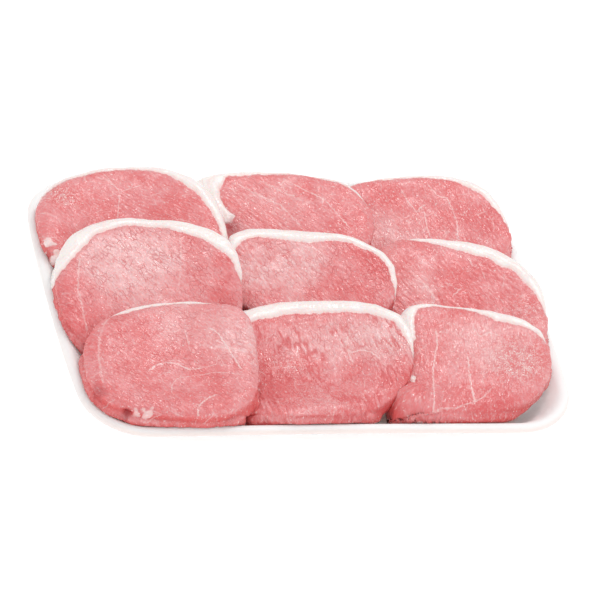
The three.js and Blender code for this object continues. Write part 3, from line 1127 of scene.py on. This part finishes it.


# a lump's dark share paints shade into its pit or into a gap between chops
CHOPS = (
    Chop("chop_back_right", 1.0, -72.0, cracked=0.3, grooved=0.5, marbled=1.0,
         fat=((-12, -1), (0, 5), (15, 8), (35, 9), (55, 7.5), (75, 4.5), (120, 4), (145, 5.5), (165, -1)),
         pale=(Patch(-0.1, -0.25, 0.35, 0.35), Patch(-0.25, 0.1, 0.3, 0.5)),
         deep=(Patch(0.8, 0.1, 0.4, 0.7), Patch(-0.15, 0.7, 0.25, 0.5)),
         veins=(Vein(((0.03, 0.68), (0.07, 0.5), (0.13, 0.34), (0.22, 0.44)), 1.1, 0.8),
                Vein(((0.13, 0.34), (0.21, 0.33), (0.2, 0.05), (0.21, -0.07)), 0.9, 0.7),
                Vein(((0.31, 0.75), (0.37, 0.57), (0.46, 0.52), (0.49, 0.3), (0.5, 0.1), (0.47, -0.18))))),
    Chop("chop_back_mid", 2.0, -46.0, cracked=0.2, marbled=1.0,
         fat=((0, -1), (15, 4), (40, 5.5), (60, 4), (100, 4), (125, 6), (139, 15), (153, 32), (163, 42),
              (177, 40), (186, 0), (192, -1)),
         pale=(Patch(0.0, 0.3, 0.5, 0.4),),
         deep=(Patch(0.8, -0.2, 0.3, 0.5),),
         veins=(Vein(((-0.25, 0.69), (0.11, 0.28), (0.25, -0.14)), 1.2, 0.6),
                Vein(((0.21, 0.75), (0.54, 0.26), (0.71, -0.33)), 1.0, 0.7),
                Vein(((-0.02, 0.73), (0.31, 0.33)), 1.4, 0.5)),
         lumps=(Lump(-0.4, -0.04, 0.12, 6.5, 0.8, dark=0.8),)),
    Chop("chop_back_left", 3.0, -40.0, cracked=0.25, grooved=0.35,
         fat=((-30, -1), (-12, 5), (0, 8), (15, 10), (35, 10), (55, 8), (75, 5), (100, 4.5), (140, 4),
              (160, 1), (175, -1)),
         pale=(Patch(-0.72, 0.15, 0.12, 0.2),),
         deep=(Patch(-0.1, 0.2, 0.45, 0.3), Patch(-0.85, 0.1, 0.25, 0.4)),
         wet=(Patch(-0.69, 0.44, 0.18, 1.0),),
         veins=(Vein(((-0.16, 0.8), (-0.04, 0.54), (-0.1, 0.21)), 0.9, 0.7),
                Vein(((-0.04, 0.54), (0.18, 0.62)), 0.9, 0.6)),
         lumps=(Lump(-0.92, -0.36, 0.55, 4.5, 0.5, fat=0.8), Lump(-0.88, -0.6, 0.4, 5.0, 0.6, fat=0.8),
                Lump(-0.97, -0.5, 0.2, 3.0, -1.5, dark=0.8)),
         corner=0.6, slump=5.0),
    Chop("chop_middle_right", 4.0, -62.0, cracked=0.35, grooved=0.9,
         fat=((-25, -1), (-12, 5), (5, 9), (20, 11.5), (40, 14), (60, 14), (85, 12), (105, 7), (116, -1)),
         pale=(Patch(-0.55, 0.45, 0.35, 0.35), Patch(-0.3, 0.15, 0.2, 0.5)),
         deep=(Patch(0.4, 0.0, 0.4, 0.15),),
         wet=(Patch(0.73, -0.28, 0.25, 0.7),),
         veins=(Vein(((-0.32, 0.28), (-0.26, 0.16), (-0.27, 0.05)), 1.8, 0.9),
                Vein(((0.25, 0.58), (0.26, 0.46)), 1.0, 0.7),
                Vein(((-0.03, 0.11), (0.02, 0.16), (0.07, 0.19)), 1.2, 0.8),
                Vein(((0.36, 0.4), (0.37, 0.31)), 1.2, 0.7),
                Vein(((0.6, 0.32), (0.55, 0.15)), 0.8, 0.6))),
    Chop("chop_middle_mid", 5.0, -62.0, cracked=0.8, grooved=0.8, marbled=0.7,
         fat=((-28, -1), (-14, 5), (0, 7), (15, 8), (45, 9), (70, 13), (95, 14), (125, 14.5), (145, 10.5),
              (160, 5), (175, -1)),
         pale=(Patch(-0.25, 0.2, 0.7, 0.75), Patch(-0.75, 0.0, 0.3, 0.4)),
         deep=(Patch(0.75, 0.0, 0.35, 1.1),)),
    Chop("chop_middle_left", 6.0, -52.0, cracked=0.8, marbled=0.4,
         fat=((0, -1), (10, 5), (30, 13), (50, 14), (70, 11.5), (95, 11), (120, 11.5), (140, 13), (156, 11),
              (168, 6), (177, -1)),
         pale=(Patch(-0.1, 0.35, 0.6, 1.0), Patch(-0.5, 0.2, 0.3, 0.3)),
         deep=(Patch(-0.95, -0.35, 0.32, 0.9),),
         veins=(Vein(((0.42, 0.65), (0.37, 0.31), (0.3, 0.0)), 1.3, 0.35),
                Vein(((-0.7, 0.29), (-0.78, -0.11), (-0.78, -0.63)), 1.6, 0.6))),
    Chop("chop_front_right", 7.0, 84.0, cracked=0.3, grooved=0.5,
         fat=((0, -1), (12, 5), (30, 10.5), (50, 11.5), (75, 7), (95, 4.5), (120, 7), (140, 11.5),
              (155, 13), (170, 7), (185, -1)),
         pale=(Patch(0.1, 0.1, 0.6, 0.5),),
         deep=(Patch(0.1, -1.0, 0.45, 1.3),),
         wet=(Patch(0.52, -0.2, 0.34, 1.2),),
         veins=(Vein(((-0.38, 0.4), (-0.41, 0.18), (-0.54, -0.21), (-0.67, -0.88)), 1.1, 0.8),
                Vein(((-0.08, -0.08), (-0.13, -0.45), (-0.17, -0.86)), 1.4, 0.9),
                Vein(((-0.17, -0.86), (-0.02, -0.76), (0.11, -0.61)), 0.9, 0.7),
                Vein(((-0.67, -0.88), (-0.42, -0.92), (-0.17, -0.86)), 1.0, 0.7),
                Vein(((0.1, 0.37), (0.14, 0.25), (0.27, 0.3), (0.38, 0.22)), 0.9, 0.6)),
         lumps=(Lump(-0.81, -0.33, 0.1, 2.9, 0.6, fat=1.0), Lump(-0.92, -0.72, -0.5, 14.0, 14.0),
                Lump(-0.8, -0.95, -0.7, 12.0, 9.0)),
         firm=(Patch(0.85, -0.75, 0.4, 1.0),)),
    Chop("chop_front_mid", 8.0, -84.0, cracked=0.6, grooved=1.4,
         fat=((-12, -1), (0, 3), (12, 7), (30, 11), (60, 13.5), (90, 14), (120, 14.5), (145, 11.5),
              (160, 5), (175, -1)),
         pale=(Patch(0.65, 0.3, 0.45, 0.8), Patch(-0.1, 0.3, 0.4, 0.5)),
         deep=(Patch(-0.7, -0.2, 0.38, 1.1), Patch(-0.35, -0.55, 0.35, 0.6), Patch(0.5, -0.5, 0.3, 0.5)),
         ragged=(Patch(-0.75, -0.8, 0.28, 1.0),),
         lumps=(Lump(-0.85, -0.8, -0.3, 8.0, 5.0), Lump(0.78, -0.85, -0.6, 10.0, 9.0),
                Lump(0.6, -0.8, -0.9, 9.0, 6.0)),
         wet=(Patch(0.75, 0.1, 0.2, 0.7), Patch(-0.35, 0.0, 0.25, 0.5), Patch(-0.1, -0.7, 0.35, 0.4)),
         veins=(Vein(((0.28, 0.23), (0.35, 0.11), (0.45, 0.12), (0.54, 0.05), (0.6, -0.09)), 1.1, 0.8),
                Vein(((0.38, 0.43), (0.31, 0.23), (0.33, -0.04)), 0.9, 0.7))),
    Chop("chop_front_left", 9.0, -48.0, cracked=0.55,
         fat=((40, -1), (60, 5), (90, 5.5), (120, 5), (140, 0), (160, -1)),
         pale=(Patch(0.2, 0.65, 0.4, 0.5), Patch(0.75, 0.2, 0.35, 0.8)),
         veins=(Vein(((-0.29, -0.2), (-0.19, -0.1), (-0.09, -0.06), (0.05, -0.1), (0.16, -0.2),
                      (0.27, -0.18)), 1.3, 0.9),
                Vein(((0.5, 0.42), (0.56, 0.34), (0.63, 0.09), (0.71, -0.23)), 1.1, 0.9),
                Vein(((0.1, -0.95), (0.12, -0.86), (0.18, -0.8), (0.26, -0.72), (0.34, -0.68)), 1.2, 0.9),
                Vein(((-0.61, 0.66), (-0.76, 0.34), (-0.83, 0.02), (-0.86, -0.44)), 1.5, 0.5),
                Vein(((0.22, 0.44), (0.22, 0.12)), 0.8, 0.6),
                Vein(((-0.12, -0.6), (-0.09, -0.46), (0.0, -0.33), (0.25, -0.3), (0.42, -0.27),
                      (0.68, -0.34)), 0.8, 0.6)),
         lumps=(Lump(-0.56, -0.93, 0.1, 3.4, 1.5, fat=0.6), Lump(-0.44, -0.9, 0.2, 3.2, 1.5, fat=0.6),
                Lump(-0.66, -0.86, 0.05, 3.0, -2.4, dark=0.9), Lump(-0.94, -0.55, 0.3, 4.5, -0.4, dark=0.5),
                Lump(0.85, -0.75, -0.5, 9.0, 8.0), Lump(0.7, -0.85, -0.9, 9.0, 6.0))),
)


# ---------- the tray ----------


@dataclass
class Tray:
    """The foam tray: the CAD tray's shape with its facets rounded off."""

    node: str = "tray"
    levels: int = 3
    holding: tuple[float, ...] = (2.0, 10.0)

    def model(self) -> bpy.types.Object:
        """Rounds a copy of the CAD tray.

        Returns:
            The tray's object, not yet dressed.
        """
        shape = merged_copy(self.node)
        bmesh.ops.join_triangles(shape, faces=shape.faces, angle_face_threshold=math.radians(50),
                                 angle_shape_threshold=math.radians(60))
        for thickness in self.holding:
            flats = [face for face in shape.faces if abs(face.normal.z) > 0.9999 and self.is_floor(face)]
            bmesh.ops.inset_region(shape, faces=flats, thickness=thickness * MM, use_even_offset=True)
        piece = new_object("tray_shell", shape)
        rounding = piece.modifiers.new("round", "SUBSURF")
        rounding.levels = self.levels
        rounding.render_levels = self.levels
        apply_modifiers(piece)
        piece.data.polygons.foreach_set("use_smooth", [True] * len(piece.data.polygons))
        return piece

    def is_floor(self, face: bmesh.types.BMFace) -> bool:
        """Whether a face meets the middle of the tray's floor or underside."""
        return any(math.hypot(corner.co.x, corner.co.y) < MM for corner in face.verts)


# ---------- the studio ----------


@dataclass
class Studio:
    """Camera, soft lights and the floor."""

    azimuth: float = -23.96
    elevation: float = 40.44
    roll: float = 15.94
    distance: float = 3.0737
    focal: float = 298.84
    rim_height: float = 26.0
    nudge: tuple[float, float] = (1.19, 0.86)
    sensor: float = 36.0
    farthest: float = 50.0
    floor_size: float = 6.0
    surround: float = 0.67
    softboxes: tuple = (
        ("back light", (0.62, 1.0, 1.65), 0.3, 9.5),
        ("left light", (-1.8, 0.1, 1.2), 1.0, 5.0),
        ("right light", (1.5, -0.9, 1.3), 1.0, 5.0),
        ("front fill", (-0.6, -1.9, 1.0), 1.2, 5.0),
    )

    def camera(self) -> None:
        """Sets the camera, turned so that up in the tray leans right in the picture."""
        turn = math.radians(self.azimuth)
        rise = math.radians(self.elevation)
        away = Vector((math.sin(turn) * math.cos(rise), -math.cos(turn) * math.cos(rise), math.sin(rise)))
        level = away.cross(Vector((0, 0, 1))).normalized() * -1
        upright = away.cross(level).normalized()
        lean = Matrix.Rotation(math.radians(self.roll), 3, away)
        right = lean @ level
        up = lean @ upright
        data = bpy.data.cameras.new("camera")
        data.lens = self.focal
        data.sensor_width = self.sensor
        data.clip_end = self.farthest
        held = bpy.data.objects.new("camera", data)
        target = Vector((0, 0, self.rim_height * MM))
        spot = target + away * self.distance + right * self.nudge[0] * MM + up * self.nudge[1] * MM
        held.matrix_world = Matrix.Translation(spot) @ Matrix((right, up, away)).transposed().to_4x4()
        bpy.context.scene.collection.objects.link(held)
        bpy.context.scene.camera = held

    def softbox(self, name: str, place: Sequence[float], size: float, power: float) -> None:
        """Adds a square soft light that faces the tray.

        Args:
            name: The light's name.
            place: Where it hangs, in metres.
            size: Its side, in metres.
            power: Its power, in watts.
        """
        data = bpy.data.lights.new(name, "AREA")
        data.shape = "SQUARE"
        data.size = size
        data.energy = power
        held = bpy.data.objects.new(name, data)
        spot = Vector(place)
        held.location = spot
        held.rotation_euler = (-spot).to_track_quat("-Z", "Y").to_euler()
        bpy.context.scene.collection.objects.link(held)

    def lights(self) -> None:
        """Hangs the soft lights and sets the white surround."""
        for box in self.softboxes:
            self.softbox(*box)
        world = bpy.data.worlds.new("white surround")
        world.use_nodes = True
        background = world.node_tree.nodes["Background"]
        background.inputs["Color"].default_value = (1.0, 1.0, 1.0, 1.0)
        background.inputs["Strength"].default_value = self.surround
        bpy.context.scene.world = world
        bpy.context.scene.view_settings.view_transform = "Standard"

    def floor(self) -> bpy.types.Object:
        """Lays the floor.

        Returns:
            The floor's object.
        """
        shape = bmesh.new()
        bmesh.ops.create_grid(shape, x_segments=4, y_segments=4, size=self.floor_size / 2)
        piece = new_object("floor", shape)
        piece.data.materials.append(FloorFinish().build())
        return piece


# ---------- making it ----------


def main() -> None:
    """Builds the studio, the tray and the chops in order."""
    logging.basicConfig(level=logging.INFO, format="%(name)s %(message)s")
    studio = Studio()
    studio.camera()
    studio.lights()
    studio.floor()
    tray = Tray()
    hand_over(tray.model(), tray.node, FoamFinish().build())
    pork = PorkFinish().build()
    for chop in CHOPS:
        hand_over(chop.model(), chop.node, pork)


if __name__ == "__main__":
    main()
